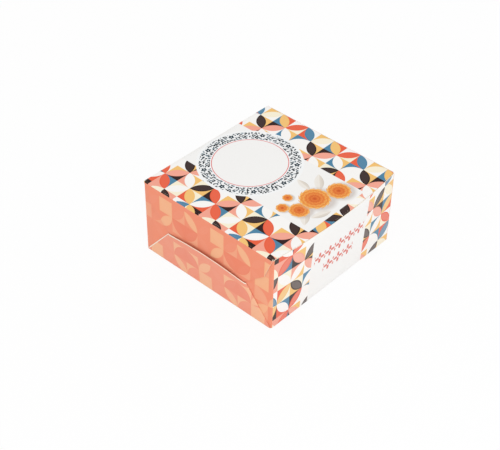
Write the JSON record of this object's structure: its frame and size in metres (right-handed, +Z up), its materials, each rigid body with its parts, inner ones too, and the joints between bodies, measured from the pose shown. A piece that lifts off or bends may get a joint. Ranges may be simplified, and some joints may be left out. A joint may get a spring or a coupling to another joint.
{
  "type": "sweet box",
  "caption": "Folding board carton for sweets with a hinged lid, tuck front and side flaps that slip into pockets in its ends",
  "frame": {"origin": "centre of the footprint, with the bow of the front included, on the surface that the box stands on", "axes": "+Z up, the front with the tuck flap faces -Y, the lid hinge is along X at +Y, the two ends with pockets face -X and +X"},
  "size_m": [0.1554, 0.146, 0.072],
  "materials": {
    "white_print": null,
    "coral_print": null,
    "plain_board": null,
    "glue_film": "dried dispersion glue"
  },
  "bodies": {
    "tray": {"base_panel": "plain_board", "front_wall": "white_print", "back_wall": "white_print", "left_pocket_flap": "coral_print", "right_pocket_flap": "coral_print", "front_left_tab": "coral_print", "front_right_tab": "coral_print", "back_left_tab": "coral_print", "back_right_tab": "coral_print", "base_front_fold": "white_print", "base_back_fold": "white_print", "base_left_fold": "coral_print", "base_right_fold": "coral_print", "front_left_fold": "coral_print", "front_right_fold": "coral_print", "back_left_fold": "coral_print", "back_right_fold": "coral_print", "front_left_glue": "glue_film", "front_right_glue": "glue_film", "back_left_glue": "glue_film", "back_right_glue": "glue_film", "lid_hinge_crease": "white_print"},
    "lid": {"lid_panel": "white_print", "tuck_crease": "white_print", "left_flap_crease": "coral_print", "right_flap_crease": "coral_print"},
    "tuck": {"tuck_flap": "white_print"},
    "left_flap": {"left_side_flap": "coral_print"},
    "right_flap": {"right_side_flap": "coral_print"}
  },
  "joints": [
    {"name": "lid_hinge", "type": "hinge", "parent": "tray", "child": "lid", "pos_m": [0, 0.07275, 0.07175], "axis": [-1, 0, 0], "range_deg": [0, 180]},
    {"name": "tuck_fold", "type": "hinge", "parent": "lid", "child": "tuck", "pos_m": [0, -0.07195, 0.07175], "axis": [-1, 0, 0], "range_deg": [0, 18]},
    {"name": "left_flap_fold", "type": "hinge", "parent": "lid", "child": "left_flap", "pos_m": [-0.07475, 0, 0.07175], "axis": [0, 1, 0], "range_deg": [0, 32.4]},
    {"name": "right_flap_fold", "type": "hinge", "parent": "lid", "child": "right_flap", "pos_m": [0.07475, 0, 0.07175], "axis": [0, -1, 0], "range_deg": [0, 32.4]}
  ],
  "couplings": [
    {"joint": "tuck_fold", "follows": "lid_hinge", "ratio": 0.1},
    {"joint": "left_flap_fold", "follows": "lid_hinge", "ratio": 0.18},
    {"joint": "right_flap_fold", "follows": "lid_hinge", "ratio": 0.18}
  ]
}
